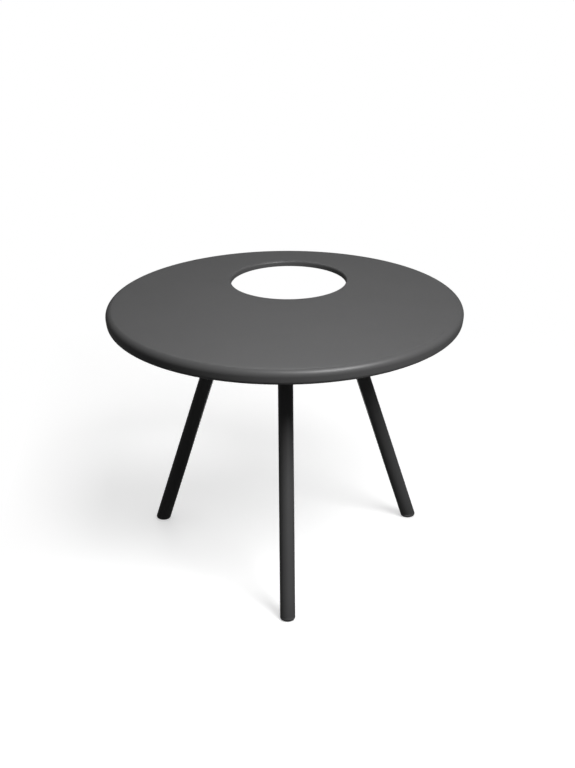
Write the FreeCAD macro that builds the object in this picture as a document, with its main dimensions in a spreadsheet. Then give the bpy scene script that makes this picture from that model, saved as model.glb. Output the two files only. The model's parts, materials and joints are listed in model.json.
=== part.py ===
"""Planter side table: a pressed round top with a planter opening, on three splayed tube legs.

Frame: millimetres, +Z up, origin on the floor below the centre of the round top.
The front leg points to -Y and the planter opening lies on the +Y side.
"""
import FreeCAD, Part
import math
import os
import Sketcher

# Driving dimensions, in millimetres and degrees
DIMENSIONS = {
    # round top
    "top_diameter": 600.0,
    "table_height": 455.0,
    "sheet_wall": 2.0,
    "edge_depth": 26.0,
    "upper_bend": 10.5,
    "lower_bend": 8.0,
    "rim_angle": 8.0,
    "edge_return": 9.0,
    # planter opening with its turned-down lip
    "hole_diameter": 200.0,
    "hole_shift": 8.0,
    "lip_bend": 3.0,
    "lip_depth": 9.5,
    "lip_clearance": 1.5,
    # legs
    "leg_diameter": 25.0,
    "leg_wall": 1.5,
    "mount_circle": 204.0,
    "foot_circle": 516.0,
    # cast leg mounts under the top
    "arm_wall": 4.0,
    "arm_width": 13.0,
    "outer_reach": 29.0,
    "outer_angle": 25.0,
    "inner_reach": 20.0,
    "boss_diameter": 20.0,
    "boss_length": 26.0,
    "boss_bevel": 0.8,
    # threaded stud that holds each leg to its mount
    "leg_stud_diameter": 10.0,
    "leg_stud_grip": 18.0,
    "leg_stud_bevel": 1.0,
    "thread_runout": 2.0,
    "thread_clearance": 0.05,
    # washer and threaded insert at the top of each leg
    "washer_wall": 1.5,
    "washer_inset": 0.4,
    "insert_cap": 3.0,
    "insert_length": 20.0,
    "insert_bevel": 1.0,
    "tube_clearance": 0.2,
    # foot glides
    "glide_height": 6.0,
    "glide_rounding": 4.0,
    "glide_plug_length": 18.0,
    "glide_core_diameter": 18.0,
    "fin_wall": 1.6,
    "fin_pitch": 4.5,
    # weld studs and flange nuts that hold the mounts
    "weld_stud_diameter": 5.0,
    "weld_stud_length": 11.0,
    "weld_stud_bevel": 0.5,
    "weld_base_diameter": 6.5,
    "weld_base_wall": 0.8,
    "stud_hole_clearance": 0.3,
    "base_clearance": 0.4,
    "nut_flats": 8.0,
    "nut_length": 5.0,
    "nut_flange_diameter": 11.8,
    "nut_flange_wall": 1.2,
}

# Legs in order round the top, seen from above, and the first one's angle from +X
FULL_TURN = 360.0
FRONT_ANGLE = -90.0
LEG_NAMES = ("front", "right", "left")
LEG_COUNT = len(LEG_NAMES)
LEG_ANGLES = {name: FRONT_ANGLE + FULL_TURN * step / LEG_COUNT for step, name in enumerate(LEG_NAMES)}
FIN_COUNT = 3

# A point this close to the floor, in millimetres, counts as on it
FLOOR_TOLERANCE = 0.001

# Sizes that follow from the driving dimensions
TOP_RADIUS = "(Dims.top_diameter / 2)"
UNDERSIDE = "(Dims.table_height - Dims.sheet_wall)"
HOLE_RADIUS = "(Dims.hole_diameter / 2)"
LEG_RADIUS = "(Dims.leg_diameter / 2)"
TUBE_BORE = f"({LEG_RADIUS} - Dims.leg_wall)"
PLUG_RADIUS = f"({TUBE_BORE} - Dims.tube_clearance)"
LEG_STUD_RADIUS = "(Dims.leg_stud_diameter / 2)"
THREAD_RADIUS = f"({LEG_STUD_RADIUS} + Dims.thread_clearance)"
WELD_STUD_RADIUS = "(Dims.weld_stud_diameter / 2)"
BOSS_RADIUS = "(Dims.boss_diameter / 2)"
MOUNT_RADIUS = "(Dims.mount_circle / 2)"
FOOT_RADIUS = "(Dims.foot_circle / 2)"

# Centres of the rim's upper and lower bends, joined by a wall that leans in towards the floor
LEAN = "(Dims.rim_angle * 1 deg)"
UPPER_X = f"({TOP_RADIUS} - Dims.upper_bend)"
UPPER_Z = "(Dims.table_height - Dims.upper_bend)"
LOWER_Z = "(Dims.table_height - Dims.edge_depth + Dims.lower_bend)"
LEAN_SHIFT = f"(Dims.upper_bend - Dims.lower_bend - ({UPPER_Z} - {LOWER_Z}) * sin({LEAN}))"
LOWER_X = f"({UPPER_X} + {LEAN_SHIFT} / cos({LEAN}))"

# The opening is a little to the right, as close to the centre as the leg mount beside it allows
REAR_MOUNT_X = f"({MOUNT_RADIUS} * cos({LEG_ANGLES['right']} * 1 deg))"
REAR_MOUNT_Y = f"({MOUNT_RADIUS} * sin({LEG_ANGLES['right']} * 1 deg))"
HOLE_REACH = f"({HOLE_RADIUS} + Dims.sheet_wall + Dims.lip_clearance + {BOSS_RADIUS})"
HOLE_Y = f"({REAR_MOUNT_Y} + sqrt({HOLE_REACH}^2 - ({REAR_MOUNT_X} - abs(Dims.hole_shift))^2))"

# The leg axis runs from the floor at the foot circle to the underside of the top at the mount circle
SPLAY = f"atan(({FOOT_RADIUS} - {MOUNT_RADIUS}) / {UNDERSIDE})"
AXIS_LENGTH = f"({UNDERSIDE} / cos({SPLAY}))"
SEAT = f"({AXIS_LENGTH} - Dims.boss_length)"
CAP_TOP = f"({SEAT} - Dims.washer_wall)"
TUBE_TOP = f"({CAP_TOP} - Dims.insert_cap)"

# Stud places on a mount: distance from the leg axis and direction from the outward side
STUD_PLACES = {
    "outer_a": ("Dims.outer_reach", "Dims.outer_angle"),
    "outer_b": ("Dims.outer_reach", "-Dims.outer_angle"),
    "inner": ("Dims.inner_reach", "180"),
}

doc = FreeCAD.newDocument("planter_side_table")


def write_dimensions():
    """Put the driving dimensions into the sheet, one named cell each."""
    sheet = doc.addObject("Spreadsheet::Sheet", "Dims")
    for row, (name, size) in enumerate(DIMENSIONS.items(), start=1):
        sheet.set(f"A{row}", name)
        sheet.set(f"B{row}", str(size))
        sheet.setAlias(f"B{row}", name)
    doc.recompute()
    return sheet


dims = write_dimensions()


def size_of(formula):
    """The present value of a formula over the sheet, in millimetres or degrees."""
    return FreeCAD.Units.Quantity(dims.evalExpression(formula)).Value


def new_body(label):
    """An empty body with its own label."""
    body = doc.addObject("PartDesign::Body", label)
    body.Label = label
    return body


def new_sketch(body, name, role, move=None, turn=None):
    """A sketch on one of the body's origin planes, moved and turned in that plane by formulas."""
    sketch = body.newObject("Sketcher::SketchObject", name)
    plane = next(item for item in body.Origin.OriginFeatures if item.Role == role)
    sketch.AttachmentSupport = [(plane, "")]
    sketch.MapMode = "FlatFace"
    for axis, formula in (move or {}).items():
        sketch.setExpression(f"AttachmentOffset.Base.{axis}", formula)
    if turn is not None:
        sketch.AttachmentOffset = FreeCAD.Placement(
            sketch.AttachmentOffset.Base, FreeCAD.Rotation(FreeCAD.Vector(0, 0, 1), 1.0))
        sketch.setExpression("AttachmentOffset.Rotation.Angle", turn)
    doc.recompute()
    return sketch


def bind(sketch, constraint, formula):
    """Add one measured constraint and tie it to its formula."""
    index = sketch.addConstraint(constraint)
    sketch.setExpression(f"Constraints[{index}]", formula)


def pin_point(sketch, edge, end, x, y):
    """Hold one point of a sketch edge at a place given by two formulas."""
    for kind, formula, zero_line in (("DistanceX", x, -2), ("DistanceY", y, -1)):
        if formula == "0":
            sketch.addConstraint(Sketcher.Constraint("PointOnObject", edge, end, zero_line))
        else:
            bind(sketch, Sketcher.Constraint(kind, -1, 1, edge, end, size_of(formula)), formula)


def arc_between(start, finish, radius, leftward):
    """An arc of under a half circle from start to finish that turns left or right."""
    chord = finish - start
    middle = (start + finish) * 0.5
    side = FreeCAD.Vector(-chord.y, chord.x, 0).normalize()
    rise = math.sqrt(max(radius ** 2 - (chord.Length / 2) ** 2, 0.0))
    centre = middle + side * (rise if leftward else -rise)
    circle = Part.Circle(centre, FreeCAD.Vector(0, 0, 1), radius)
    first, last = (start, finish) if leftward else (finish, start)
    return Part.ArcOfCircle(circle, circle.parameter(first), circle.parameter(last))


def draw_outline(sketch, corners):
    """Draw a closed outline. A corner is (x, y), or (x, y, radius, turn) where an arc leaves it."""
    points = [FreeCAD.Vector(size_of(corner[0]), size_of(corner[1]), 0) for corner in corners]
    ends = []
    for index, corner in enumerate(corners):
        start = points[index]
        finish = points[(index + 1) % len(points)]
        if len(corner) == 2:
            edge = sketch.addGeometry(Part.LineSegment(start, finish), False)
            ends.append((edge, 1, 2))
            continue
        radius, turn = corner[2:]
        leftward = turn == "left"
        edge = sketch.addGeometry(arc_between(start, finish, size_of(radius), leftward), False)
        ends.append((edge, 1, 2) if leftward else (edge, 2, 1))
        bind(sketch, Sketcher.Constraint("Radius", edge, size_of(radius)), radius)
    for index, (edge, first, last) in enumerate(ends):
        following, following_first, _ = ends[(index + 1) % len(ends)]
        sketch.addConstraint(Sketcher.Constraint("Coincident", edge, last, following, following_first))
        pin_point(sketch, edge, first, corners[index][0], corners[index][1])
    doc.recompute()


def draw_circle(sketch, x, y, radius):
    """Draw one circle whose centre and radius follow formulas."""
    centre = FreeCAD.Vector(size_of(x), size_of(y), 0)
    edge = sketch.addGeometry(Part.Circle(centre, FreeCAD.Vector(0, 0, 1), size_of(radius)), False)
    bind(sketch, Sketcher.Constraint("Radius", edge, size_of(radius)), radius)
    pin_point(sketch, edge, 3, x, y)
    doc.recompute()


def box_corners(left, right, low, high):
    """Corners of an upright rectangle, from four formulas."""
    return [(left, low), (right, low), (right, high), (left, high)]


def turned(body, name, corners, role="XZ_Plane", cut=False, **placing):
    """Turn an outline a full circle about its own upright axis, to add or to cut."""
    sketch = new_sketch(body, name + "_outline", role, **placing)
    draw_outline(sketch, corners)
    feature = body.newObject("PartDesign::Groove" if cut else "PartDesign::Revolution", name)
    feature.Profile = sketch
    feature.ReferenceAxis = (sketch, ["V_Axis"])
    feature.Angle = FULL_TURN
    doc.recompute()
    return feature


def pushed(body, name, sketch, length, cut=False, reverse=False, both_ways=False):
    """Push a drawn outline straight through a length, to add or to cut."""
    feature = body.newObject("PartDesign::Pocket" if cut else "PartDesign::Pad", name)
    feature.Profile = sketch
    feature.SideType = "Symmetric" if both_ways else "One side"
    feature.Reversed = reverse
    feature.setExpression("Length", length)
    doc.recompute()
    return feature


def leg_placement(direction):
    """Place a piece drawn along its leg: origin at the foot, +Z up the leg, +X outward."""
    azimuth = math.radians(direction)
    foot = size_of(FOOT_RADIUS)
    base = FreeCAD.Vector(foot * math.cos(azimuth), foot * math.sin(azimuth), 0)
    heading = FreeCAD.Rotation(FreeCAD.Vector(0, 0, 1), direction)
    lean = FreeCAD.Rotation(FreeCAD.Vector(0, 1, 0), -size_of(SPLAY))
    return FreeCAD.Placement(base, heading * lean)


def mount_placement(direction):
    """Place a leg mount: origin where the leg axis meets the underside of the top, +X outward."""
    azimuth = math.radians(direction)
    reach = size_of(MOUNT_RADIUS)
    base = FreeCAD.Vector(reach * math.cos(azimuth), reach * math.sin(azimuth), size_of(UNDERSIDE))
    return FreeCAD.Placement(base, FreeCAD.Rotation(FreeCAD.Vector(0, 0, 1), direction))


def rim_wall_end(x, z, radius):
    """Where a rim bend of some radius about a centre runs into the leaning wall."""
    return f"{x} + {radius} * cos({LEAN})", f"{z} - {radius} * sin({LEAN})"


def build_top():
    """Pressed round top: flat sheet, rounded rim turned under, opening with a turned-down lip."""
    body = new_body("table_top")
    high = "Dims.table_height"
    wall = "Dims.sheet_wall"
    upper = "Dims.upper_bend"
    upper_inner = f"({upper} - {wall})"
    lower = "Dims.lower_bend"
    lower_inner = f"({lower} - {wall})"
    low = f"({high} - Dims.edge_depth)"
    return_end = f"({LOWER_X} - Dims.edge_return)"
    return_round = f"({wall} / 2)"
    turned(body, "sheet_and_rim", [
        ("0", UNDERSIDE),
        (UPPER_X, UNDERSIDE, upper_inner, "right"),
        rim_wall_end(UPPER_X, UPPER_Z, upper_inner),
        (*rim_wall_end(LOWER_X, LOWER_Z, lower_inner), lower_inner, "right"),
        (LOWER_X, f"{low} + {wall}"),
        (return_end, f"{low} + {wall}", return_round, "left"),
        (f"{return_end} - {return_round}", f"{low} + {return_round}", return_round, "left"),
        (return_end, low),
        (LOWER_X, low, lower, "left"),
        rim_wall_end(LOWER_X, LOWER_Z, lower),
        (*rim_wall_end(UPPER_X, UPPER_Z, upper), upper, "left"),
        (UPPER_X, high),
        ("0", high),
    ])
    bend_start = f"({HOLE_RADIUS} + Dims.lip_bend)"
    opening = new_sketch(body, "opening_outline", "XY_Plane", move={"z": high})
    draw_circle(opening, "Dims.hole_shift", HOLE_Y, bend_start)
    pushed(body, "opening", opening, f"2 * {wall}", cut=True)
    inner_bend = f"(Dims.lip_bend - {wall})"
    lip_end = f"({high} - Dims.lip_depth)"
    lip_middle = f"({HOLE_RADIUS} + {return_round})"
    turned(body, "lip", [
        (bend_start, high, "Dims.lip_bend", "left"),
        (HOLE_RADIUS, f"{high} - Dims.lip_bend"),
        (HOLE_RADIUS, f"{lip_end} + {return_round}", return_round, "left"),
        (lip_middle, lip_end, return_round, "left"),
        (f"{HOLE_RADIUS} + {wall}", f"{lip_end} + {return_round}"),
        (f"{HOLE_RADIUS} + {wall}", f"{high} - Dims.lip_bend", inner_bend, "right"),
        (bend_start, UNDERSIDE),
    ], role="YZ_Plane", move={"x": HOLE_Y, "z": "Dims.hole_shift"})
    return body


def build_leg_mount(name, direction):
    """Cast mount: three tapered arms under the top and a leaning boss, tapped for the leg stud."""
    body = new_body(f"leg_mount_{name}")
    end_radius = "(Dims.arm_width / 2)"
    for place, (reach, angle) in STUD_PLACES.items():
        taper = f"(({BOSS_RADIUS} - {end_radius}) / {reach})"
        spread = f"sqrt(1 - {taper}^2)"
        root = (f"{BOSS_RADIUS} * {taper}", f"{BOSS_RADIUS} * {spread}")
        end = (f"{reach} + {end_radius} * {taper}", f"{end_radius} * {spread}")
        arm = new_sketch(body, f"arm_{place}_outline", "XY_Plane", turn=angle)
        draw_outline(arm, [
            (root[0], f"-{root[1]}"),
            (end[0], f"-{end[1]}", end_radius, "left"),
            (f"{reach} + {end_radius}", "0", end_radius, "left"),
            end,
            (*root, BOSS_RADIUS, "left"),
            (f"-{BOSS_RADIUS}", "0", BOSS_RADIUS, "left"),
        ])
        pushed(body, f"arm_{place}", arm, "Dims.arm_wall", reverse=True)
    over_top = f"({BOSS_RADIUS} * tan({SPLAY}) + Dims.arm_wall)"
    turned(body, "boss", [
        ("0", "-Dims.boss_length"),
        (f"{BOSS_RADIUS} - Dims.boss_bevel", "-Dims.boss_length"),
        (BOSS_RADIUS, "Dims.boss_bevel - Dims.boss_length"),
        (BOSS_RADIUS, over_top),
        ("0", over_top),
    ], turn=SPLAY)
    trim = new_sketch(body, "trim_outline", "XY_Plane")
    draw_circle(trim, "0", "0", "Dims.boss_diameter")
    pushed(body, "trim", trim, f"2 * {over_top}", cut=True, reverse=True)
    bore_end = "(Dims.leg_stud_grip + Dims.thread_runout - Dims.boss_length)"
    turned(body, "tapped_hole", [
        ("0", "-Dims.boss_length"),
        (THREAD_RADIUS, "-Dims.boss_length"),
        (THREAD_RADIUS, bore_end),
        ("0", bore_end),
    ], cut=True, turn=SPLAY)
    for place, (reach, angle) in STUD_PLACES.items():
        for kind, radius, depth in (
            ("stud_hole", f"{WELD_STUD_RADIUS} + Dims.stud_hole_clearance", "2 * Dims.arm_wall"),
            ("base_recess", "Dims.weld_base_diameter / 2 + Dims.base_clearance",
             "Dims.weld_base_wall + Dims.base_clearance"),
        ):
            hole = new_sketch(body, f"{kind}_{place}_outline", "XY_Plane", turn=angle)
            draw_circle(hole, reach, "0", radius)
            pushed(body, f"{kind}_{place}", hole, depth, cut=True)
    body.Placement = mount_placement(direction)
    return body


def build_leg_stud(name, direction):
    """Threaded stud between a leg mount and the insert in the leg."""
    body = new_body(f"leg_stud_{name}")
    high = f"({SEAT} + Dims.leg_stud_grip)"
    low = f"({CAP_TOP} - Dims.leg_stud_grip)"
    tip = f"({LEG_STUD_RADIUS} - Dims.leg_stud_bevel)"
    turned(body, "stud", [
        ("0", low),
        (tip, low),
        (LEG_STUD_RADIUS, f"{low} + Dims.leg_stud_bevel"),
        (LEG_STUD_RADIUS, f"{high} - Dims.leg_stud_bevel"),
        (tip, high),
        ("0", high),
    ])
    body.Placement = leg_placement(direction)
    return body


def build_seat_washer(name, direction):
    """Plastic washer that keeps the leg's end off the coated mount."""
    body = new_body(f"seat_washer_{name}")
    bore = f"({LEG_STUD_RADIUS} + Dims.tube_clearance)"
    turned(body, "washer", box_corners(bore, f"({LEG_RADIUS} - Dims.washer_inset)", CAP_TOP, SEAT))
    body.Placement = leg_placement(direction)
    return body


def build_leg_insert(name, direction):
    """Turned insert that closes the top of a leg tube and takes the leg stud."""
    body = new_body(f"leg_insert_{name}")
    low = f"({TUBE_TOP} - Dims.insert_length)"
    turned(body, "insert", [
        (THREAD_RADIUS, low),
        (f"{PLUG_RADIUS} - Dims.insert_bevel", low),
        (PLUG_RADIUS, f"{low} + Dims.insert_bevel"),
        (PLUG_RADIUS, TUBE_TOP),
        (LEG_RADIUS, TUBE_TOP),
        (LEG_RADIUS, CAP_TOP),
        (THREAD_RADIUS, CAP_TOP),
    ])
    body.Placement = leg_placement(direction)
    return body


def level_cut(body, name, height, upward):
    """Cut a leg piece along a level plane at a height above the floor, on its upper or lower side."""
    reach = "Dims.leg_diameter"
    rise = f"{reach} * tan({SPLAY})"
    level = f"{height} / cos({SPLAY})"
    far = "(2 * Dims.leg_diameter + Dims.glide_height)"
    limit = f"{level} + {far}" if upward else f"{level} - {far}"
    corners = [
        (f"-{reach}", f"{level} + {rise}"),
        (reach, f"{level} - {rise}"),
        (reach, limit),
        (f"-{reach}", limit),
    ]
    sketch = new_sketch(body, name + "_outline", "XZ_Plane")
    draw_outline(sketch, corners)
    return pushed(body, name, sketch, f"2 * {reach}", cut=True, both_ways=True)


def build_leg_tube(name, direction):
    """Leg tube, square at its top end and cut level with the floor at its foot."""
    body = new_body(f"leg_tube_{name}")
    turned(body, "tube", box_corners(TUBE_BORE, LEG_RADIUS, "-Dims.leg_diameter", TUBE_TOP))
    level_cut(body, "foot_cut", "Dims.glide_height", upward=False)
    body.Placement = leg_placement(direction)
    return body


def build_foot_glide(name, direction):
    """Moulded glide: a level rounded sole under the tube's end and a finned plug inside it."""
    body = new_body(f"foot_glide_{name}")
    sole_top = "(2 * Dims.leg_diameter)"
    turned(body, "sole", box_corners("0", LEG_RADIUS, "-Dims.leg_diameter", sole_top))
    level_cut(body, "shoulder", "Dims.glide_height", upward=True)
    core = "(Dims.glide_core_diameter / 2)"
    shoulder = f"(Dims.glide_height / cos({SPLAY}) + {LEG_RADIUS} * tan({SPLAY}))"
    end = f"({shoulder} + Dims.glide_plug_length)"
    turned(body, "plug", box_corners("0", core, "-Dims.leg_diameter", end))
    for fin in range(FIN_COUNT):
        top = f"({end} - {fin} * Dims.fin_pitch)"
        turned(body, f"fin_{fin + 1}", [
            ("0", f"{top} - Dims.fin_wall"),
            (PLUG_RADIUS, f"{top} - Dims.fin_wall"),
            (core, top),
            ("0", top),
        ])
    level_cut(body, "floor_cut", "0", upward=False)
    round_sole(body)
    body.Placement = leg_placement(direction)
    return body


def round_sole(body):
    """Round the edge of the sole where it meets the floor."""
    base = body.Tip
    splay = math.radians(size_of(SPLAY))
    sole = []
    for index, edge in enumerate(base.Shape.Edges, start=1):
        heights = [point.x * math.sin(splay) + point.z * math.cos(splay) for point in edge.discretize(9)]
        if max(abs(height) for height in heights) < FLOOR_TOLERANCE:
            sole.append(f"Edge{index}")
    rounding = body.newObject("PartDesign::Fillet", "sole_round")
    rounding.Base = (base, sole)
    rounding.setExpression("Radius", "Dims.glide_rounding")
    doc.recompute()


def repeat_on_mounts(body, features):
    """Repeat one mount's fasteners on all mounts and turn the set to the legs' directions."""
    pattern = body.newObject("PartDesign::PolarPattern", "on_each_mount")
    pattern.Originals = features
    axis = next(item for item in body.Origin.OriginFeatures if item.Role == "Z_Axis")
    pattern.Axis = (axis, [""])
    pattern.Angle = FULL_TURN
    pattern.Occurrences = LEG_COUNT
    body.Tip = pattern
    doc.recompute()
    heading = FreeCAD.Rotation(FreeCAD.Vector(0, 0, 1), FRONT_ANGLE)
    body.Placement = FreeCAD.Placement(FreeCAD.Vector(0, 0, size_of(UNDERSIDE)), heading)


def stud_place(reach, angle):
    """Formulas for a stud's place on a mount whose leg points to +X."""
    return f"{MOUNT_RADIUS} + {reach} * cos({angle} * 1 deg)", f"{reach} * sin({angle} * 1 deg)"


def build_weld_studs():
    """Threaded studs welded to the underside of the top, each with a low base flange."""
    body = new_body("mount_weld_studs")
    base_radius = "(Dims.weld_base_diameter / 2)"
    low = "-Dims.weld_stud_length"
    studs = []
    for place, (reach, angle) in STUD_PLACES.items():
        along, across = stud_place(reach, angle)
        studs.append(turned(body, f"stud_{place}", [
            ("0", low),
            (f"{WELD_STUD_RADIUS} - Dims.weld_stud_bevel", low),
            (WELD_STUD_RADIUS, f"{low} + Dims.weld_stud_bevel"),
            (WELD_STUD_RADIUS, "-Dims.weld_base_wall"),
            (base_radius, "-Dims.weld_base_wall"),
            (base_radius, "0"),
            ("0", "0"),
        ], move={"x": along, "z": f"-({across})"}))
    repeat_on_mounts(body, studs)
    return body


def build_flange_nuts():
    """Hexagon nuts with a round flange, one under each mount arm."""
    body = new_body("mount_flange_nuts")
    bore = f"({WELD_STUD_RADIUS} + Dims.thread_clearance)"
    seat = "-Dims.arm_wall"
    flange_radius = "(Dims.nut_flange_diameter / 2)"
    corner = "(Dims.nut_flats / sqrt(3))"
    nuts = []
    for place, (reach, angle) in STUD_PLACES.items():
        along, across = stud_place(reach, angle)
        nuts.append(turned(body, f"flange_{place}", [
            (bore, f"{seat} - Dims.nut_flange_wall"),
            (corner, f"{seat} - Dims.nut_flange_wall"),
            (flange_radius, f"{seat} - Dims.nut_flange_wall / 2"),
            (flange_radius, seat),
            (bore, seat),
        ], move={"x": along, "z": f"-({across})"}))
        hexagon = new_sketch(body, f"hexagon_{place}_outline", "XY_Plane",
                             move={"x": along, "y": across, "z": f"{seat} - Dims.nut_flange_wall"})
        draw_outline(hexagon, [
            (corner, "0"),
            (f"{corner} / 2", "Dims.nut_flats / 2"),
            (f"-{corner} / 2", "Dims.nut_flats / 2"),
            (f"-{corner}", "0"),
            (f"-{corner} / 2", "-Dims.nut_flats / 2"),
            (f"{corner} / 2", "-Dims.nut_flats / 2"),
        ])
        draw_circle(hexagon, "0", "0", bore)
        nuts.append(pushed(body, f"hexagon_{place}", hexagon,
                           "Dims.nut_length - Dims.nut_flange_wall", reverse=True))
    repeat_on_mounts(body, nuts)
    return body


def build_table():
    """Build every piece of the table."""
    pieces = [build_top(), build_weld_studs(), build_flange_nuts()]
    for name, direction in LEG_ANGLES.items():
        for build in (build_leg_mount, build_leg_stud, build_seat_washer, build_leg_insert,
                      build_leg_tube, build_foot_glide):
            pieces.append(build(name, direction))
    doc.recompute()
    return pieces


def check_table(pieces):
    """Stop if any object failed or any piece has no sound solid."""
    failed = [item.Label for item in doc.Objects if {"Invalid", "Error"} & set(item.State)]
    unsound = [piece.Label for piece in pieces if piece.Shape.isNull() or not piece.Shape.isValid()]
    if failed or unsound:
        raise RuntimeError(f"failed objects: {failed}; unsound pieces: {unsound}")


def write_pieces(pieces):
    """Write each piece's solids to its own file."""
    os.makedirs("parts", exist_ok=True)
    for piece in pieces:
        piece.Shape.exportStep(f"parts/{piece.Label}.step")
        print(f"{piece.Label}: {len(piece.Shape.Solids)} solid(s), {piece.Shape.Volume:.1f} cubic mm")


table = build_table()
check_table(table)
write_pieces(table)
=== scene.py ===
"""Looks of a planter side table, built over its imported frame.

A coated round top with a rolled rim and a planter opening stands on three splayed tube legs, each
screwed to a cast mount under the top. Every piece is in metres, in the frame's own coordinates, and
rides on the frame's one body.
"""
import json
import logging
import math
from collections.abc import Iterable, Mapping, Sequence
from dataclasses import dataclass, field
from enum import Enum

import bmesh
import bpy
from mathutils import Matrix, Vector


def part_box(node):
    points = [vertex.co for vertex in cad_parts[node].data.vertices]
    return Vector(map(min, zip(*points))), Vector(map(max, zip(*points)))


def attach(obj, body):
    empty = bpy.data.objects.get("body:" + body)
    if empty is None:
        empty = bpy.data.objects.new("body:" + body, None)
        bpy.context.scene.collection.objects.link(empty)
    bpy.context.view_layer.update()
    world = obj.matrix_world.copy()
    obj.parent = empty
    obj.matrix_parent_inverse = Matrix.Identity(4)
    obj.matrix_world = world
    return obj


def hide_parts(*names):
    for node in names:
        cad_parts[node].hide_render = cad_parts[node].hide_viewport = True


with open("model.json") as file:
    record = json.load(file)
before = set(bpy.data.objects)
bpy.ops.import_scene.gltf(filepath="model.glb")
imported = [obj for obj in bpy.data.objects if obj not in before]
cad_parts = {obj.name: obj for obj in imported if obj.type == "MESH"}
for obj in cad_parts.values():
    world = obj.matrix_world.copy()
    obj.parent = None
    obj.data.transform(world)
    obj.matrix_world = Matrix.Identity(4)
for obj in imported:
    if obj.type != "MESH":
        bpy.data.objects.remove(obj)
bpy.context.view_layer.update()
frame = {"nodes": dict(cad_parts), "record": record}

LOG = logging.getLogger("planter_side_table")
BODY = "root"

MM = 0.001
FULL_TURN = 2.0 * math.pi
MERGE_DISTANCE = 0.001 * MM
ARC_TOLERANCE = 0.008 * MM
SHARP_ANGLE = math.radians(26.0)
FLAT_ANGLE = math.radians(0.5)
CAST_ANGLE = math.radians(35.0)
FEWEST_ARC_STEPS = 3
ROUND_PROFILE = 0.5
NOISE_SPAN = (0.3, 0.7)

Colour = tuple[float, float, float]


class LegName(Enum):
    """The three legs, named as someone who faces the table sees them."""

    FRONT = "front"
    RIGHT = "right"
    LEFT = "left"


class Slot(Enum):
    """The record's material slots."""

    TOP_COAT = "top_coat"
    LEG_COAT = "leg_coat"
    MOUNT_COAT = "mount_coat"
    PLATED_STEEL = "plated_steel"
    WASHER_PLASTIC = "washer_plastic"
    GLIDE_PLASTIC = "glide_plastic"


def opaque(colour: Colour) -> tuple[float, float, float, float]:
    """The colour with full cover, as shader sockets take it."""
    return (*colour, 1.0)


def shade(colour: Colour, share: float) -> Colour:
    """The colour made lighter or darker by a share of itself."""
    return tuple(channel * (1.0 + share) for channel in colour)


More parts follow.
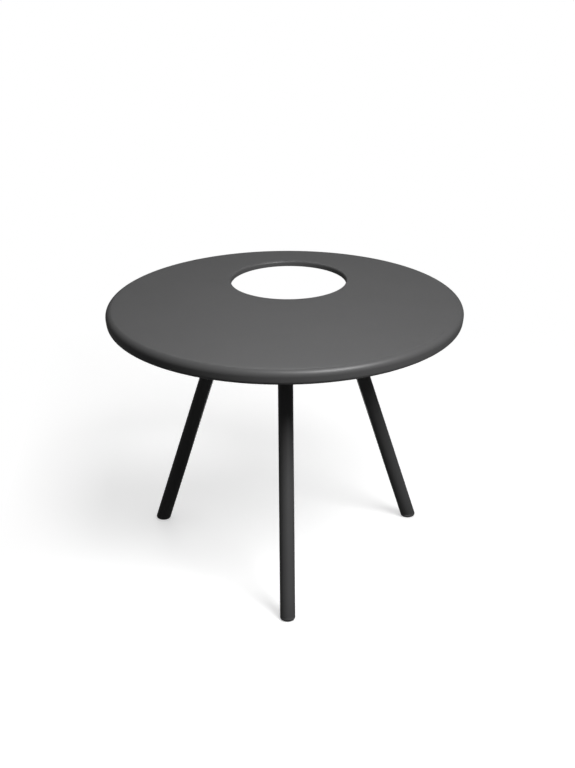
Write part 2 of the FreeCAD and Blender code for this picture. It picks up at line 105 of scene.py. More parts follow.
class NodeGraph:
    """A material's or world's nodes while they are wired, with one short call for each."""

    def __init__(self, tree: bpy.types.NodeTree) -> None:
        """Start from an empty tree."""
        self.tree = tree
        self.tree.nodes.clear()

    def add(self, kind: str, inputs: Mapping[str | int, object] | None = None,
            **settings: object) -> bpy.types.Node:
        """Add one node.

        Args:
            kind: Blender's type name of the node.
            inputs: a value, or a socket to link from, for each named input.
            settings: the node's own options.

        Returns:
            The new node.
        """
        node = self.tree.nodes.new(kind)
        for name, option in settings.items():
            setattr(node, name, option)
        for name, given in (inputs or {}).items():
            if isinstance(given, bpy.types.NodeSocket):
                self.tree.links.new(given, node.inputs[name])
            else:
                node.inputs[name].default_value = given
        return node

    def place(self) -> bpy.types.NodeSocket:
        """The surface point in the frame's metres."""
        return self.add("ShaderNodeTexCoord").outputs["Object"]

    def noise(self, place: bpy.types.NodeSocket, size: float, detail: float) -> bpy.types.NodeSocket:
        """Soft noise.

        Args:
            place: the point at which it is read.
            size: the width of its spots, in metres.
            detail: how many finer layers it has.

        Returns:
            The noise, about 0.5 on average.
        """
        inputs = {"Vector": place, "Scale": 1.0 / size, "Detail": detail}
        return self.add("ShaderNodeTexNoise", inputs).outputs["Fac"]

    def span(self, factor: bpy.types.NodeSocket, low: float, high: float,
             of: tuple[float, float] = NOISE_SPAN) -> bpy.types.NodeSocket:
        """Map a factor to a span of numbers.

        Args:
            factor: the number that is mapped.
            low: the result at the start of the factor's own span.
            high: the result at its end.
            of: the factor's own span.

        Returns:
            The mapped number.
        """
        inputs = {"Value": factor, "From Min": of[0], "From Max": of[1], "To Min": low, "To Max": high}
        return self.add("ShaderNodeMapRange", inputs).outputs["Result"]

    def math(self, operation: str, first: object, second: object) -> bpy.types.NodeSocket:
        """The result of one sum on two numbers or sockets."""
        return self.add("ShaderNodeMath", {0: first, 1: second}, operation=operation).outputs[0]

    def blend(self, factor: bpy.types.NodeSocket, start: object, end: object) -> bpy.types.NodeSocket:
        """A colour between two colours or sockets."""
        return self.add("ShaderNodeMixRGB", {"Fac": factor, "Color1": start, "Color2": end}).outputs["Color"]

    def bump(self, height: bpy.types.NodeSocket, depth: float,
             under: bpy.types.NodeSocket | None = None) -> bpy.types.NodeSocket:
        """Raise and sink the surface.

        Args:
            height: the relief, from 0 to 1.
            depth: the relief's full height, in metres.
            under: a coarser relief that this one lies on.

        Returns:
            The changed normal.
        """
        inputs: dict[str, object] = {"Height": height, "Distance": depth, "Strength": 1.0}
        if under is not None:
            inputs["Normal"] = under
        return self.add("ShaderNodeBump", inputs).outputs["Normal"]

    def background_rays(self, mirrored_share: float) -> bpy.types.NodeSocket:
        """Tell how far a ray shows the background.

        Args:
            mirrored_share: the share that shows in reflections and through glass.

        Returns:
            One on rays from the camera, the share on mirrored and passed rays, and else nothing.
        """
        path = self.add("ShaderNodeLightPath").outputs
        mirrored = self.math("MAXIMUM", path["Is Glossy Ray"], path["Is Transmission Ray"])
        return self.math("MAXIMUM", path["Is Camera Ray"], self.math("MULTIPLY", mirrored, mirrored_share))

    def mixed(self, factor: bpy.types.NodeSocket, first: bpy.types.Node,
              second: bpy.types.Node) -> bpy.types.Node:
        """Two shaders mixed by a factor, the second one at 1."""
        return self.add("ShaderNodeMixShader", {0: factor, 1: first.outputs[0], 2: second.outputs[0]})

    def surface(self, shader: bpy.types.Node) -> None:
        """Send a shader to the material's surface."""
        self.add("ShaderNodeOutputMaterial", {"Surface": shader.outputs[0]})


@dataclass(frozen=True)
class Finish:
    """A surface finish that makes its own procedural material."""

    name: str
    slot: Slot
    colour: Colour

    def material(self) -> bpy.types.Material:
        """Give the finish's material.

        Returns:
            The material, made the first time it is asked for.
        """
        found = bpy.data.materials.get(self.name)
        if found is not None:
            return found
        made = bpy.data.materials.new(self.name)
        made.use_nodes = True
        made.diffuse_color = opaque(self.colour)
        self.wire(NodeGraph(made.node_tree))
        return made

    def wire(self, graph: NodeGraph) -> None:
        """Wire the finish's nodes into an empty material."""
        raise NotImplementedError


@dataclass(frozen=True)
class PowderCoat(Finish):
    """Baked powder coat: an even matt film with a fine grain over a faint orange peel."""

    roughness: float = 0.42
    gloss: float = 0.5
    roughness_spread: float = 0.03
    cloud_size: float = 70.0 * MM
    cloud_layers: float = 2.0
    cloud_share: float = 0.02
    fleck_size: float = 0.9 * MM
    fleck_layers: float = 1.0
    fleck_share: float = 0.05
    peel_size: float = 3.2 * MM
    peel_layers: float = 0.0
    peel_depth: float = 0.016 * MM
    grain_size: float = 0.5 * MM
    grain_layers: float = 2.0
    grain_depth: float = 0.010 * MM

    def wire(self, graph: NodeGraph) -> None:
        """Wire broad clouds and fine flecks of tone, an uneven sheen, and grain on orange peel.

        Args:
            graph: the empty material's nodes.
        """
        place = graph.place()
        cloud = graph.noise(place, self.cloud_size, self.cloud_layers)
        fleck = graph.noise(place, self.fleck_size, self.fleck_layers)
        share = graph.math("ADD", graph.span(cloud, -self.cloud_share, self.cloud_share),
                           graph.span(fleck, -self.fleck_share, self.fleck_share))
        spread = self.cloud_share + self.fleck_share
        tone = graph.blend(graph.span(share, 0.0, 1.0, of=(-spread, spread)),
                           opaque(shade(self.colour, -spread)), opaque(shade(self.colour, spread)))
        grain = graph.noise(place, self.grain_size, self.grain_layers)
        peel = graph.bump(graph.noise(place, self.peel_size, self.peel_layers), self.peel_depth)
        shader = graph.add("ShaderNodeBsdfPrincipled", {
            "Base Color": tone,
            "Roughness": graph.span(grain, self.roughness - self.roughness_spread,
                                    self.roughness + self.roughness_spread),
            "Specular IOR Level": self.gloss,
            "Normal": graph.bump(grain, self.grain_depth, peel),
        })
        graph.surface(shader)


@dataclass(frozen=True)
class PlatedSteel(Finish):
    """Zinc plated steel: satin metal, warmer and duller in soft patches, with a fine grain."""

    warm: Colour = (0.62, 0.58, 0.5)
    roughness: float = 0.3
    roughness_spread: float = 0.08
    patch_size: float = 4.0 * MM
    patch_layers: float = 3.0
    grain_size: float = 0.25 * MM
    grain_layers: float = 2.0
    grain_depth: float = 0.004 * MM

    def wire(self, graph: NodeGraph) -> None:
        """Wire patches of warmer plating and a fine satin grain.

        Args:
            graph: the empty material's nodes.
        """
        place = graph.place()
        patch = graph.noise(place, self.patch_size, self.patch_layers)
        grain = graph.noise(place, self.grain_size, self.grain_layers)
        shader = graph.add("ShaderNodeBsdfPrincipled", {
            "Base Color": graph.blend(graph.span(patch, 0.0, 1.0), opaque(self.colour), opaque(self.warm)),
            "Metallic": 1.0,
            "Roughness": graph.span(patch, self.roughness - self.roughness_spread,
                                    self.roughness + self.roughness_spread),
            "Normal": graph.bump(grain, self.grain_depth),
        })
        graph.surface(shader)


@dataclass(frozen=True)
class MouldedPlastic(Finish):
    """Moulded plastic with a spark-eroded grain, scuffed and dusty up to a height above the floor."""

    dust: Colour = (0.16, 0.155, 0.145)
    scuff_height: float = 0.0
    scuff_share: float = 0.35
    scuff_span: tuple[float, float] = (0.35, 0.65)
    roughness: float = 0.52
    roughness_spread: float = 0.06
    gloss: float = 0.3
    fleck_size: float = 1.4 * MM
    fleck_layers: float = 2.0
    fleck_share: float = 0.06
    grain_size: float = 0.32 * MM
    grain_layers: float = 2.0
    grain_depth: float = 0.014 * MM

    def wire(self, graph: NodeGraph) -> None:
        """Wire the tone with its dusty foot, an uneven sheen and the mould's grain.

        Args:
            graph: the empty material's nodes.
        """
        place = graph.place()
        fleck = graph.noise(place, self.fleck_size, self.fleck_layers)
        grain = graph.noise(place, self.grain_size, self.grain_layers)
        tone = graph.blend(graph.span(fleck, 0.0, 1.0), opaque(shade(self.colour, -self.fleck_share)),
                           opaque(shade(self.colour, self.fleck_share)))
        if self.scuff_height > 0.0:
            height = graph.add("ShaderNodeSeparateXYZ", {"Vector": place}).outputs["Z"]
            near_floor = graph.span(height, self.scuff_share, 0.0, of=(0.0, self.scuff_height))
            patchy = graph.math("MULTIPLY", near_floor, graph.span(fleck, 0.0, 1.0, of=self.scuff_span))
            tone = graph.blend(patchy, tone, opaque(self.dust))
        shader = graph.add("ShaderNodeBsdfPrincipled", {
            "Base Color": tone,
            "Roughness": graph.span(grain, self.roughness - self.roughness_spread,
                                    self.roughness + self.roughness_spread),
            "Specular IOR Level": self.gloss,
            "Normal": graph.bump(grain, self.grain_depth),
        })
        graph.surface(shader)


TOP_COAT = PowderCoat("anthracite_top_coat", Slot.TOP_COAT, (0.105, 0.105, 0.106))
LEG_COAT = PowderCoat("anthracite_leg_coat", Slot.LEG_COAT, (0.08, 0.08, 0.081))
MOUNT_COAT = PowderCoat("anthracite_cast_coat", Slot.MOUNT_COAT, (0.08, 0.08, 0.081), peel_size=1.6 * MM,
                        peel_depth=0.05 * MM)
PLATING = PlatedSteel("zinc_plating", Slot.PLATED_STEEL, (0.64, 0.64, 0.63))
WASHER_NYLON = MouldedPlastic("black_nylon", Slot.WASHER_PLASTIC, (0.03, 0.03, 0.03))
GLIDE_PLASTIC = MouldedPlastic("grey_glide_plastic", Slot.GLIDE_PLASTIC, (0.085, 0.085, 0.086),
                               scuff_height=2.0 * MM)


@dataclass(frozen=True)
class Corner:
    """A corner of a turned outline: how far out and how high it is, and the radius that rounds it."""

    radius: float
    height: float
    rounding: float = 0.0
    offset: Vector = field(default_factory=Vector)
    level: float = 0.0


@dataclass(frozen=True)
class Station:
    """One ring of a turned piece: its radius, height, sideways offset and how level it is cut."""

    radius: float
    height: float
    offset: Vector
    level: float

    def gap(self, other: "Station") -> float:
        """The distance to another ring of the same outline."""
        sideways = (other.offset - self.offset).length
        return math.hypot(other.radius - self.radius, other.height - self.height) + sideways

    def towards(self, other: "Station", share: float) -> "Station":
        """Find a ring between this one and another.

        Args:
            other: the other ring.
            share: how far along the way it lies, from 0 to 1.

        Returns:
            The ring between them.
        """
        return Station(self.radius + (other.radius - self.radius) * share,
                       self.height + (other.height - self.height) * share,
                       self.offset.lerp(other.offset, share),
                       self.level + (other.level - self.level) * share)


def rounded_corner(before: Corner, corner: Corner, after: Corner) -> list[Station]:
    """Turn one corner of an outline into the rings of its arc.

    Args:
        before: the corner that comes before it.
        corner: the corner itself.
        after: the corner that comes after it.

    Returns:
        The rings along the arc, or one ring where the corner is sharp.
    """
    if corner.rounding == 0.0:
        return [Station(corner.radius, corner.height, corner.offset, corner.level)]
    here = Vector((corner.radius, corner.height))
    back = (Vector((before.radius, before.height)) - here).normalized()
    ahead = (Vector((after.radius, after.height)) - here).normalized()
    opening = back.angle(ahead)
    reach = corner.rounding / math.tan(opening / 2.0)
    middle = here + (back + ahead).normalized() * (corner.rounding / math.sin(opening / 2.0))
    start = here + back * reach - middle
    end = here + ahead * reach - middle
    step = 2.0 * math.acos(max(0.0, 1.0 - ARC_TOLERANCE / corner.rounding))
    count = max(FEWEST_ARC_STEPS, math.ceil((math.pi - opening) / step))
    rings = []
    for index in range(count + 1):
        point = middle + start.slerp(end, index / count) * corner.rounding
        rings.append(Station(point.x, point.y, corner.offset, corner.level))
    return rings


def trace(corners: Sequence[Corner], longest_run: float) -> list[Station]:
    """Trace a closed outline.

    Args:
        corners: the outline's corners in order.
        longest_run: the widest gap between rings on a straight stretch, in metres.

    Returns:
        The rings round the outline, the last one next to the first.
    """
    bends: list[Station] = []
    for index, corner in enumerate(corners):
        after = corners[(index + 1) % len(corners)]
        bends.extend(rounded_corner(corners[index - 1], corner, after))
    rings: list[Station] = []
    for index, station in enumerate(bends):
        following = bends[(index + 1) % len(bends)]
        gap = station.gap(following)
        if gap < MERGE_DISTANCE:
            continue
        parts = math.ceil(gap / longest_run)
        rings.extend(station.towards(following, part / parts) for part in range(parts))
    return rings


@dataclass(frozen=True)
class Axis:
    """The line that a turned piece is built about."""

    foot: Vector
    up: Vector
    side: Vector

    def point(self, radius: float, turn: float, along: float) -> Vector:
        """The point at a radius, a turn from the side and a distance along the line."""
        across = self.up.cross(self.side)
        return self.foot + self.up * along + (self.side * math.cos(turn) + across * math.sin(turn)) * radius

    def ring(self, station: Station, count: int) -> list[Vector]:
        """The points of one ring.

        Args:
            station: the ring's size and place.
            count: how many points go round it.

        Returns:
            The points, in order round the line.
        """
        lean = station.level * self.side.z / self.up.z
        points = []
        for index in range(count):
            turn = FULL_TURN * index / count
            along = station.height - lean * station.radius * math.cos(turn)
            points.append(self.point(station.radius, turn, along) + station.offset)
        return points


UPRIGHT = Axis(Vector((0.0, 0.0, 0.0)), Vector((0.0, 0.0, 1.0)), Vector((1.0, 0.0, 0.0)))


class MeshDraft:
    """Points and faces gathered for one piece."""

    def __init__(self) -> None:
        """Start with nothing."""
        self.points: list[Vector] = []
        self.faces: list[list[int]] = []

    def ring(self, points: Iterable[Vector]) -> list[int]:
        """Add a ring of points.

        Args:
            points: the ring's points in order.

        Returns:
            The points' numbers in the draft.
        """
        start = len(self.points)
        self.points.extend(points)
        return list(range(start, len(self.points)))

    def bridge(self, first: Sequence[int], second: Sequence[int]) -> None:
        """Join two rings by a band of four-sided faces.

        Args:
            first: the numbers of one ring's points.
            second: the numbers of the other's, as many.
        """
        count = len(first)
        for index in range(count):
            after = (index + 1) % count
            self.faces.append([first[index], first[after], second[after], second[index]])

    def turn(self, axis: Axis, stations: Sequence[Station], count: int) -> None:
        """Add a closed turned body.

        Args:
            axis: the line it is turned about.
            stations: its rings, the last one next to the first.
            count: how many points go round each ring.
        """
        rings = [self.ring(axis.ring(station, count)) for station in stations]
        for index, ring in enumerate(rings):
            self.bridge(rings[index - 1], ring)

    def cap(self, ring: Sequence[int]) -> None:
        """Close a ring with one flat face."""
        self.faces.append(list(ring))

    def piece(self, name: str) -> bpy.types.Object:
        """Make the draft into an object.

        Args:
            name: the piece's name.

        Returns:
            The object, with its normals outward and its real edges kept sharp.
        """
        mesh = bpy.data.meshes.new(name)
        mesh.from_pydata(self.points, [], self.faces)
        return finished_piece(name, mesh)


def finished_piece(name: str, mesh: bpy.types.Mesh) -> bpy.types.Object:
    """Weld, orient and smooth a mesh and put it in the scene.

    Args:
        name: the piece's name.
        mesh: its mesh.

    Returns:
        The piece's object.
    """
    shape = bmesh.new()
    shape.from_mesh(mesh)
    bmesh.ops.remove_doubles(shape, verts=shape.verts, dist=MERGE_DISTANCE)
    bmesh.ops.recalc_face_normals(shape, faces=shape.faces)
    for face in shape.faces:
        face.smooth = True
    shape.to_mesh(mesh)
    shape.free()
    mesh.set_sharp_from_angle(angle=SHARP_ANGLE)
    piece = bpy.data.objects.new(name, mesh)
    bpy.context.scene.collection.objects.link(piece)
    return piece


@dataclass(frozen=True)
class Thread:
    """A sixty degree screw thread, cut into a rod with bevelled ends.

    The profile gives the corners of one turn, as shares of the pitch and of the thread's depth.
    """

    diameter: float
    pitch: float
    bevel: float
    depth_share: float = 0.6134
    profile: tuple[tuple[float, float], ...] = ((0.0, 0.0), (0.125, 0.0), (0.4375, 1.0), (0.6875, 1.0))
    segments: int = 48

    def radius(self, depth: float, from_end: float) -> float:
        """The rod's radius at a share of the thread's depth and a distance from the nearer end."""
        crest = self.diameter / 2.0
        return min(crest - depth * self.depth_share * self.pitch, crest - self.bevel + from_end)

    def add_rod(self, draft: MeshDraft, axis: Axis, low: float, high: float) -> None:
        """Add a threaded rod to a draft.

        Args:
            draft: the piece that the rod belongs to.
            axis: the rod's middle line.
            low: where the rod starts along the line.
            high: where it ends.
        """
        rows = []
        for turn in range(math.ceil((high - low) / self.pitch) + 2):
            for share, depth in self.profile:
                row = []
                for index in range(self.segments):
                    winding = index / self.segments
                    along = low + self.pitch * (turn - 1 + share + winding)
                    along = min(max(along, low), high)
                    radius = self.radius(depth, min(along - low, high - along))
                    row.append(axis.point(radius, FULL_TURN * winding, along))
                rows.append(draft.ring(row))
        for row, above in zip(rows, rows[1:]):
            for index in range(self.segments - 1):
                draft.faces.append([row[index], row[index + 1], above[index + 1], above[index]])
        next_turn = len(self.profile)
        for row, above, row_end, above_end in zip(rows, rows[1:], rows[next_turn:], rows[next_turn + 1:]):
            draft.faces.append([row[-1], row_end[0], above_end[0], above[-1]])
        draft.cap(rows[0])
        draft.cap(rows[-1])


@dataclass(frozen=True)
class FlangeNut:
    """A hexagon nut with a round flange, its corners turned off at thirty degrees."""

    flats: float
    length: float
    bore: float
    flange_diameter: float
    flange_wall: float
    edge: float = 0.3 * MM
    chamfer_share: float = 0.94
    chamfer_angle: float = math.radians(30.0)
    sides: int = 6
    segments: int = 72

    def hexagon(self, turn: float) -> float:
        """The hexagon's radius at a turn from one of its corners."""
        sector = FULL_TURN / self.sides
        return self.flats / 2.0 / math.cos(turn % sector - sector / 2.0)

    def section(self, turn: float) -> list[tuple[float, float]]:
        """Draw the nut's section.

        Args:
            turn: the section's turn from one of the hexagon's corners.

        Returns:
            The radius and the depth below the seat at each corner, in order round the solid.
        """
        hexagon = self.hexagon(turn)
        corner = self.hexagon(0.0)
        flange = self.flange_diameter / 2.0
        chamfer = self.chamfer_share * self.flats / 2.0
        bore = self.bore / 2.0
        chamfer_drop = (hexagon - chamfer) * math.tan(self.chamfer_angle)
        return [
            (bore, self.edge),
            (bore + self.edge, 0.0),
            (flange - self.edge, 0.0),
            (flange, self.edge),
            (flange, self.flange_wall / 2.0),
            (corner, self.flange_wall),
            (hexagon, self.flange_wall),
            (hexagon, self.length - chamfer_drop),
            (chamfer, self.length),
            (bore + self.edge, self.length),
            (bore, self.length - self.edge),
        ]

    def add(self, draft: MeshDraft, axis: Axis) -> None:
        """Add the nut to a draft.

        Args:
            draft: the piece that the nut belongs to.
            axis: the nut's middle line, from its seat.
        """
        turns = [FULL_TURN * index / self.segments for index in range(self.segments)]
        sections = [self.section(turn) for turn in turns]
        rings = []
        for corner in range(len(sections[0])):
            points = [axis.point(section[corner][0], turn, section[corner][1])
                      for turn, section in zip(turns, sections)]
            rings.append(draft.ring(points))
        for index, ring in enumerate(rings):
            draft.bridge(rings[index - 1], ring)


def install(piece: bpy.types.Object, finish: Finish, *nodes: str) -> None:
    """Dress a new piece, set it on the body and let it stand for its frame nodes.

    Args:
        piece: the new piece.
        finish: its finish.
        nodes: the frame nodes that it stands for.
    """
    piece.data.materials.clear()
    piece.data.materials.append(finish.material())
    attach(piece, BODY)
    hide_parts(*nodes)
    LOG.info("%s: %d faces, %s", piece.name, len(piece.data.polygons), finish.name)


def mount_row(name: str) -> Mapping[str, object]:
    """The record's row for one of the table's interfaces."""
    return next(row for row in frame["record"]["mounts"] if row["name"] == name)


def node_copy(node: str) -> bmesh.types.BMesh:
    """Copy a frame node's mesh to work on.

    Args:
        node: the node's name.

    Returns:
        The welded copy, which the caller frees.
    """
    shape = bmesh.new()
    shape.from_mesh(frame["nodes"][node].data)
    bmesh.ops.remove_doubles(shape, verts=shape.verts, dist=MERGE_DISTANCE)
    return shape


def loose_boxes(node: str) -> list[tuple[Vector, Vector]]:
    """Find the separate solids of a frame node.

    Args:
        node: the node's name.

    Returns:
        The lowest and highest corner of each solid.
    """
    shape = node_copy(node)
    waiting = set(shape.verts)
    boxes = []
    while waiting:
        found = [waiting.pop()]
        for vertex in found:
            for edge in vertex.link_edges:
                neighbour = edge.other_vert(vertex)
                if neighbour in waiting:
                    waiting.remove(neighbour)
                    found.append(neighbour)
        low = Vector(min(vertex.co[axis] for vertex in found) for axis in range(3))
        high = Vector(max(vertex.co[axis] for vertex in found) for axis in range(3))
        boxes.append((low, high))
    shape.free()
    return sorted(boxes, key=lambda box: tuple(box[0]))


@dataclass
class TableTop:
    """Pressed round top: a flat sheet with a rounded rim turned under and an opening with a lip."""

    finish: Finish = TOP_COAT
    upper_bend: float = 10.5 * MM
    lower_bend: float = 8.0 * MM
    rim_lean: float = math.radians(8.0)
    rim_return: float = 9.0 * MM
    lip_bend: float = 3.0 * MM
    lip_depth: float = 9.5 * MM
    segments: int = 320
    longest_run: float = 14.0 * MM
    radius: float = field(init=False)
    height: float = field(init=False)
    rim_depth: float = field(init=False)
    wall: float = field(init=False)
    hole_radius: float = field(init=False)
    hole_offset: Vector = field(init=False)

    def __post_init__(self) -> None:
        """Read the top's sizes from the frame, whose weld studs end at the sheet's underside."""
        low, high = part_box("table_top")
        self.radius = high.x
        self.height = high.z
        self.rim_depth = high.z - low.z
        self.wall = high.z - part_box("mount_weld_studs")[1].z
        opening = mount_row("planter_opening")
        self.hole_radius = opening["dims"]["r_mm"] * MM
        self.hole_offset = Vector((opening["pos_m"][0], opening["pos_m"][1], 0.0))

    def rim_radius(self, height: float, inset: float) -> float:
        """Tell how far out the leaning rim is.

        Args:
            height: the height at which it is measured.
            inset: the depth below the rim's outer face.

        Returns:
            The radius there.
        """
        rise = height - (self.height - self.upper_bend)
        run = self.upper_bend - inset + rise * math.sin(self.rim_lean)
        return self.radius - self.upper_bend + run / math.cos(self.rim_lean)

    def outline(self) -> list[Corner]:
        """Draw the section through the sheet.

        Returns:
            Its corners, from the top's edge round the rim and under the top to the lip and back.
        """
        wall = self.wall
        edge = wall / 2.0
        low = self.height - self.rim_depth
        under = self.height - wall
        return_end = self.rim_radius(low + self.lower_bend, self.lower_bend) - self.rim_return - edge
        rim = [
            Corner(self.rim_radius(self.height, 0.0), self.height, self.upper_bend),
            Corner(self.rim_radius(low, 0.0), low, self.lower_bend),
            Corner(return_end, low, edge),
            Corner(return_end, low + wall, edge),
            Corner(self.rim_radius(low + wall, wall), low + wall, self.lower_bend - wall),
            Corner(self.rim_radius(under, wall), under, self.upper_bend - wall),
        ]
        lip_low = self.height - self.lip_depth
        lip_back = self.hole_radius + wall
        lip = [
            Corner(lip_back, under, self.lip_bend - wall, self.hole_offset),
            Corner(lip_back, lip_low, edge, self.hole_offset),
            Corner(self.hole_radius, lip_low, edge, self.hole_offset),
            Corner(self.hole_radius, self.height, self.lip_bend, self.hole_offset),
        ]
        return rim + lip

    def build(self) -> None:
        """Make the top and dress it."""
        draft = MeshDraft()
        draft.turn(UPRIGHT, trace(self.outline(), self.longest_run), self.segments)
        install(draft.piece("top_sheet"), self.finish, "table_top")


@dataclass
class Leg:
    """One leg: its tube, the insert and washer at its head, its threaded stud, mount and foot glide."""

    name: LegName
    coat: Finish = LEG_COAT
    mount_coat: Finish = MOUNT_COAT
    washer_finish: Finish = WASHER_NYLON
    stud_finish: Finish = PLATING
    glide_finish: Finish = GLIDE_PLASTIC
    tube_wall: float = 1.5 * MM
    tube_clearance: float = 0.2 * MM
    edge_round: float = 0.35 * MM
    cast_round: float = 0.6 * MM
    cast_segments: int = 3
    insert_cap: float = 3.0 * MM
    insert_length: float = 20.0 * MM
    insert_round: float = 1.05 * MM
    washer_wall: float = 1.5 * MM
    washer_inset: float = 0.4 * MM
    stud_diameter: float = 10.0 * MM
    stud_pitch: float = 1.5 * MM
    stud_grip: float = 18.0 * MM
    stud_bevel: float = 1.0 * MM
    thread_clearance: float = 0.05 * MM
    segments: int = 96
    longest_run: float = 40.0 * MM
    radius: float = field(init=False)
    axis: Axis = field(init=False)
    tube_low: float = field(init=False)
    tube_high: float = field(init=False)

    def __post_init__(self) -> None:
        """Read the leg's line and length from the frame."""
        # The front leg leans straight ahead, so its box is as wide as the tube.
        tube_low, tube_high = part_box("leg_tube_front")
        self.radius = tube_high.x
        foot = Vector(mount_row(f"foot_{self.name.value}")["pos_m"])
        stud_low, stud_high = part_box(self.node("leg_stud"))
        up = ((stud_low + stud_high) / 2.0 - foot).normalized()
        outward = Vector((foot.x, foot.y, 0.0)).normalized()
        side = (outward - up * outward.dot(up)).normalized()
        self.axis = Axis(foot, up, side)
        self.tube_low = tube_low.z / up.z
        self.tube_high = (tube_high.z - self.radius * side.z) / up.z

    def node(self, piece: str) -> str:
        """The name of one of this leg's frame nodes."""
        return f"{piece}_{self.name.value}"

    def dressed(self, piece: str) -> str:
        """The name of the dressed piece that stands for one of those nodes."""
        return f"{self.node(piece)}_piece"

    def turned(self, piece: str, corners: Sequence[Corner], finish: Finish) -> None:
        """Make and dress one piece that is turned about the leg's line.

        Args:
            piece: the piece's name, without the leg's.
            corners: its closed outline.
            finish: its finish.
        """
        draft = MeshDraft()
        draft.turn(self.axis, trace(corners, self.longest_run), self.segments)
        install(draft.piece(self.dressed(piece)), finish, self.node(piece))

    def build_tube(self) -> None:
        """Make the tube, square at its head and cut level at its foot."""
        bore = self.radius - self.tube_wall
        edge = self.edge_round
        self.turned("leg_tube", [
            Corner(self.radius, self.tube_low, edge, level=1.0),
            Corner(self.radius, self.tube_high, edge),
            Corner(bore, self.tube_high, edge),
            Corner(bore, self.tube_low, edge, level=1.0),
        ], self.coat)

    def build_insert(self) -> None:
        """Make the insert that closes the tube's head and takes the stud."""
        bore = self.stud_diameter / 2.0 + self.thread_clearance
        plug = self.radius - self.tube_wall - self.tube_clearance
        cap = self.tube_high + self.insert_cap
        edge = self.edge_round
        self.turned("leg_insert", [
            Corner(self.radius, self.tube_high, edge),
            Corner(self.radius, cap, edge),
            Corner(bore, cap, edge),
            Corner(bore, self.tube_high - self.insert_length, edge),
            Corner(plug, self.tube_high - self.insert_length, self.insert_round),
            Corner(plug, self.tube_high),
        ], self.coat)

    def build_washer(self) -> None:
        """Make the washer that keeps the leg's head off the coated mount."""
        low = self.tube_high + self.insert_cap
        high = low + self.washer_wall
        outer = self.radius - self.washer_inset
        bore = self.stud_diameter / 2.0 + self.tube_clearance
        edge = self.edge_round
        self.turned("seat_washer", [
            Corner(outer, low, edge),
            Corner(outer, high, edge),
            Corner(bore, high, edge),
            Corner(bore, low, edge),
        ], self.washer_finish)

    def build_stud(self) -> None:
        """Make the threaded stud between the mount and the insert."""
        cap = self.tube_high + self.insert_cap
        draft = MeshDraft()
        thread = Thread(self.stud_diameter, self.stud_pitch, self.stud_bevel)
        thread.add_rod(draft, self.axis, cap - self.stud_grip, cap + self.washer_wall + self.stud_grip)
        install(draft.piece(self.dressed("leg_stud")), self.stud_finish, self.node("leg_stud"))

    def build_mount(self) -> None:
        """Make the cast mount from its solid, with its edges softened as a casting's are."""
        shape = node_copy(self.node("leg_mount"))
        bmesh.ops.dissolve_limit(shape, angle_limit=FLAT_ANGLE, verts=shape.verts, edges=shape.edges)
        hard = [edge for edge in shape.edges if edge.is_manifold and edge.calc_face_angle() > CAST_ANGLE]
        bmesh.ops.bevel(shape, geom=hard, offset=self.cast_round, segments=self.cast_segments,
                        profile=ROUND_PROFILE, affect="EDGES", clamp_overlap=True)
        self.install_copy("leg_mount", shape, self.mount_coat)

    def build_glide(self) -> None:
        """Make the foot glide from its solid."""
        self.install_copy("foot_glide", node_copy(self.node("foot_glide")), self.glide_finish)

    def install_copy(self, piece: str, shape: bmesh.types.BMesh, finish: Finish) -> None:
        """Install a piece that was worked up from its solid, and free the working copy.

        Args:
            piece: the piece's name, without the leg's.
            shape: the working copy.
            finish: the piece's finish.
        """
        mesh = bpy.data.meshes.new(self.dressed(piece))
        shape.to_mesh(mesh)
        shape.free()
        install(finished_piece(self.dressed(piece), mesh), finish, self.node(piece))

    def build(self) -> None:
        """Make every piece of the leg and dress it."""
        self.build_tube()
        self.build_insert()
        self.build_washer()
        self.build_stud()
        self.build_mount()
        self.build_glide()


@dataclass
class MountFasteners:
    """The studs welded under the top and the flange nuts that hold the leg mounts to them."""

    finish: Finish = PLATING
    stud_diameter: float = 5.0 * MM
    stud_pitch: float = 0.8 * MM
    stud_bevel: float = 0.5 * MM
    base_diameter: float = 6.5 * MM
    base_wall: float = 0.8 * MM
    base_round: float = 0.25 * MM
    nut_flats: float = 8.0 * MM
    nut_flange_wall: float = 1.2 * MM
    thread_clearance: float = 0.05 * MM
    segments: int = 48

    def build_studs(self) -> None:
        """Make the threaded studs with their weld bases."""
        thread = Thread(self.stud_diameter, self.stud_pitch, self.stud_bevel)
        inner = self.stud_diameter / 2.0 - self.stud_bevel
        outer = self.base_diameter / 2.0
        draft = MeshDraft()
        for low, high in loose_boxes("mount_weld_studs"):
            middle = (low + high) / 2.0
            axis = Axis(Vector((middle.x, middle.y, 0.0)), UPRIGHT.up, UPRIGHT.side)
            thread.add_rod(draft, axis, low.z, high.z - self.base_wall / 2.0)
            base = [
                Corner(outer, high.z - self.base_wall, self.base_round),
                Corner(outer, high.z),
                Corner(inner, high.z),
                Corner(inner, high.z - self.base_wall),
            ]
            draft.turn(axis, trace(base, self.base_diameter), self.segments)
        install(draft.piece("weld_studs"), self.finish, "mount_weld_studs")

    def build_nuts(self) -> None:
        """Make the flange nuts, each seated up against its mount's arm."""
        draft = MeshDraft()
        for low, high in loose_boxes("mount_flange_nuts"):
            middle = (low + high) / 2.0
            nut = FlangeNut(self.nut_flats, high.z - low.z, self.stud_diameter + 2.0 * self.thread_clearance,
                            high.x - low.x, self.nut_flange_wall)
            nut.add(draft, Axis(Vector((middle.x, middle.y, high.z)), -UPRIGHT.up, UPRIGHT.side))
        install(draft.piece("flange_nuts"), self.finish, "mount_flange_nuts")

    def build(self) -> None:
        """Make the studs and nuts and dress them."""
        self.build_studs()
        self.build_nuts()


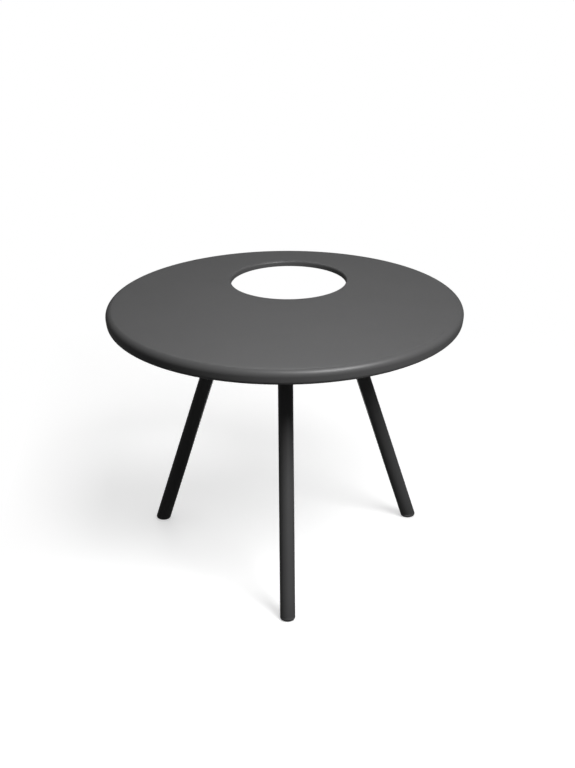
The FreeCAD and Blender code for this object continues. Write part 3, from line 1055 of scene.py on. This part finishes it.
@dataclass(frozen=True)
class Lamp:
    """One soft round studio lamp. Its azimuth is turned from +X towards +Y."""

    name: str
    azimuth: float
    elevation: float
    distance: float
    width: float
    power: float
    aim: tuple[float, float, float] = (0.0, 0.0, 0.4)

    def build(self) -> None:
        """Hang the lamp and turn its face to its aim."""
        light = bpy.data.lights.new(self.name, "AREA")
        light.shape = "DISK"
        light.size = self.width
        light.energy = self.power
        lamp = bpy.data.objects.new(self.name, light)
        turn = math.radians(self.azimuth)
        rise = math.radians(self.elevation)
        heading = Vector((math.cos(turn) * math.cos(rise), math.sin(turn) * math.cos(rise), math.sin(rise)))
        lamp.location = Vector(self.aim) + heading * self.distance
        lamp.rotation_mode = "QUATERNION"
        lamp.rotation_quaternion = heading.to_track_quat("Z", "Y")
        lamp.visible_camera = False
        bpy.context.scene.collection.objects.link(lamp)


@dataclass(frozen=True)
class PhotoCamera:
    """A camera that stands where the photograph's did. Its angles are in degrees."""

    place: tuple[float, float, float] = (-0.01574, -3.09859, 1.56493)
    pitch: float = 22.016
    yaw: float = 0.366
    roll: float = -0.403
    focal_pixels: float = 1961.49
    frame_pixels: float = 768.0
    sensor_mm: float = 36.0

    def build(self) -> None:
        """Set up the camera and make it the scene's own."""
        yaw, pitch, roll = (math.radians(angle) for angle in (self.yaw, self.pitch, self.roll))
        ahead = Vector((math.sin(yaw) * math.cos(pitch), math.cos(yaw) * math.cos(pitch), -math.sin(pitch)))
        level = Vector((math.cos(yaw), -math.sin(yaw), 0.0))
        steep = level.cross(ahead)
        right = level * math.cos(roll) + steep * math.sin(roll)
        up = steep * math.cos(roll) - level * math.sin(roll)
        data = bpy.data.cameras.new("photo_camera")
        data.sensor_width = self.sensor_mm
        data.lens = self.focal_pixels * self.sensor_mm / self.frame_pixels
        camera = bpy.data.objects.new("photo_camera", data)
        turn = Matrix((right, up, -ahead)).transposed().to_4x4()
        camera.matrix_world = Matrix.Translation(self.place) @ turn
        bpy.context.scene.collection.objects.link(camera)
        bpy.context.scene.camera = camera


@dataclass
class Studio:
    """White paper floor, soft lamps, a faint room light and the camera.

    The paper's glow dims by contact_shade within contact_reach of what stands on it, a painted contact
    shade. The table's shadow fades out over shadow_reach from the frame's middle, and over shadow_left along
    X.
    """

    floor_reach: float = 14.0
    floor_drop: float = 0.2 * MM
    paper: float = 0.68
    paper_glow: float = 0.7
    contact_shade: float = 0.4
    contact_reach: float = 0.08
    contact_samples: int = 16
    shadow_reach: tuple[float, float] = (0.8, 1.2)
    shadow_left: tuple[float, float] = (-0.33, -0.52)
    bounce: float = 0.05
    room_light: float = 0.04
    mirrored_share: float = 0.1
    lamps: tuple[Lamp, ...] = (
        Lamp("key_softbox", azimuth=-53.0, elevation=45.0, distance=2.2, width=1.1, power=45.2),
        Lamp("high_softbox", azimuth=-90.0, elevation=64.0, distance=2.2, width=0.8, power=4.6),
        Lamp("under_softbox", azimuth=0.0, elevation=-90.0, distance=0.395, width=0.5, power=1.5,
             aim=(0.0, 0.55, 0.4)),
        Lamp("back_softbox", azimuth=90.0, elevation=48.0, distance=2.2, width=0.8, power=4.6),
    )

    def shaded_paper(self, graph: NodeGraph) -> bpy.types.Node:
        """Wire the paper where the table's shadow shows.

        Args:
            graph: the floor material's nodes.

        Returns:
            A shader that takes the shadow and has a little painted shade round the feet.
        """
        lit = graph.add("ShaderNodeBsdfDiffuse", {"Color": opaque((self.paper,) * 3)})
        # painted contact shade: ambient occlusion dims the paper's glow near the feet
        openness = graph.add("ShaderNodeAmbientOcclusion", {"Distance": self.contact_reach},
                             samples=self.contact_samples).outputs["AO"]
        least_glow = self.paper_glow * (1.0 - self.contact_shade)
        glow = graph.add("ShaderNodeEmission", {
            "Strength": graph.span(openness, least_glow, self.paper_glow, of=(0.0, 1.0)),
        })
        return graph.add("ShaderNodeAddShader", {0: lit.outputs[0], 1: glow.outputs[0]})

    def shadow_fade(self, graph: NodeGraph) -> bpy.types.NodeSocket:
        """Wire the fade of the table's shadow.

        Args:
            graph: the floor material's nodes.

        Returns:
            Nothing where the shadow is full, and one where it has gone.
        """
        place = graph.place()
        distance = graph.add("ShaderNodeVectorMath", {0: place}, operation="LENGTH").outputs["Value"]
        across = graph.add("ShaderNodeSeparateXYZ", {"Vector": place}).outputs["X"]
        return graph.math("MAXIMUM", graph.span(distance, 0.0, 1.0, of=self.shadow_reach),
                          graph.span(across, 0.0, 1.0, of=self.shadow_left))

    def paper_material(self) -> bpy.types.Material:
        """Make the floor's paper.

        Returns:
            A material that is white to the camera but for the table's shadow, dull to light that
            bounces, and open from below.
        """
        paper = bpy.data.materials.new("white_paper")
        paper.use_nodes = True
        graph = NodeGraph(paper.node_tree)
        white = graph.add("ShaderNodeEmission", {"Strength": 1.0})
        shown = graph.mixed(self.shadow_fade(graph), self.shaded_paper(graph), white)
        dull = graph.add("ShaderNodeBsdfDiffuse", {"Color": opaque((self.bounce,) * 3)})
        above = graph.mixed(graph.background_rays(self.mirrored_share), dull, shown)
        open_below = graph.add("ShaderNodeBsdfTransparent")
        underneath = graph.add("ShaderNodeNewGeometry").outputs["Backfacing"]
        graph.surface(graph.mixed(underneath, above, open_below))
        return paper

    def build_floor(self) -> None:
        """Lay the floor."""
        reach = self.floor_reach
        corners = [(-reach, -reach), (reach, -reach), (reach, reach), (-reach, reach)]
        mesh = bpy.data.meshes.new("studio_floor")
        mesh.from_pydata([(x, y, -self.floor_drop) for x, y in corners], [], [(0, 1, 2, 3)])
        mesh.materials.append(self.paper_material())
        floor = bpy.data.objects.new("studio_floor", mesh)
        bpy.context.scene.collection.objects.link(floor)

    def build_world(self) -> None:
        """Set a white background with a faint even light."""
        world = bpy.data.worlds.new("studio_room")
        world.use_nodes = True
        bpy.context.scene.world = world
        graph = NodeGraph(world.node_tree)
        shown = graph.background_rays(self.mirrored_share)
        strength = graph.span(shown, self.room_light, 1.0, of=(0.0, 1.0))
        room = graph.add("ShaderNodeBackground", {"Color": opaque((1.0, 1.0, 1.0)), "Strength": strength})
        graph.add("ShaderNodeOutputWorld", {"Surface": room.outputs[0]})

    def build(self) -> None:
        """Set up the whole studio."""
        bpy.context.scene.view_settings.view_transform = "Standard"
        self.build_floor()
        self.build_world()
        for lamp in self.lamps:
            lamp.build()
        PhotoCamera().build()


def main() -> None:
    """Build the table's pieces and the studio round it."""
    logging.basicConfig(level=logging.INFO, format="%(message)s")
    TableTop().build()
    for name in LegName:
        Leg(name).build()
    MountFasteners().build()
    Studio().build()


if __name__ == "__main__":
    main()
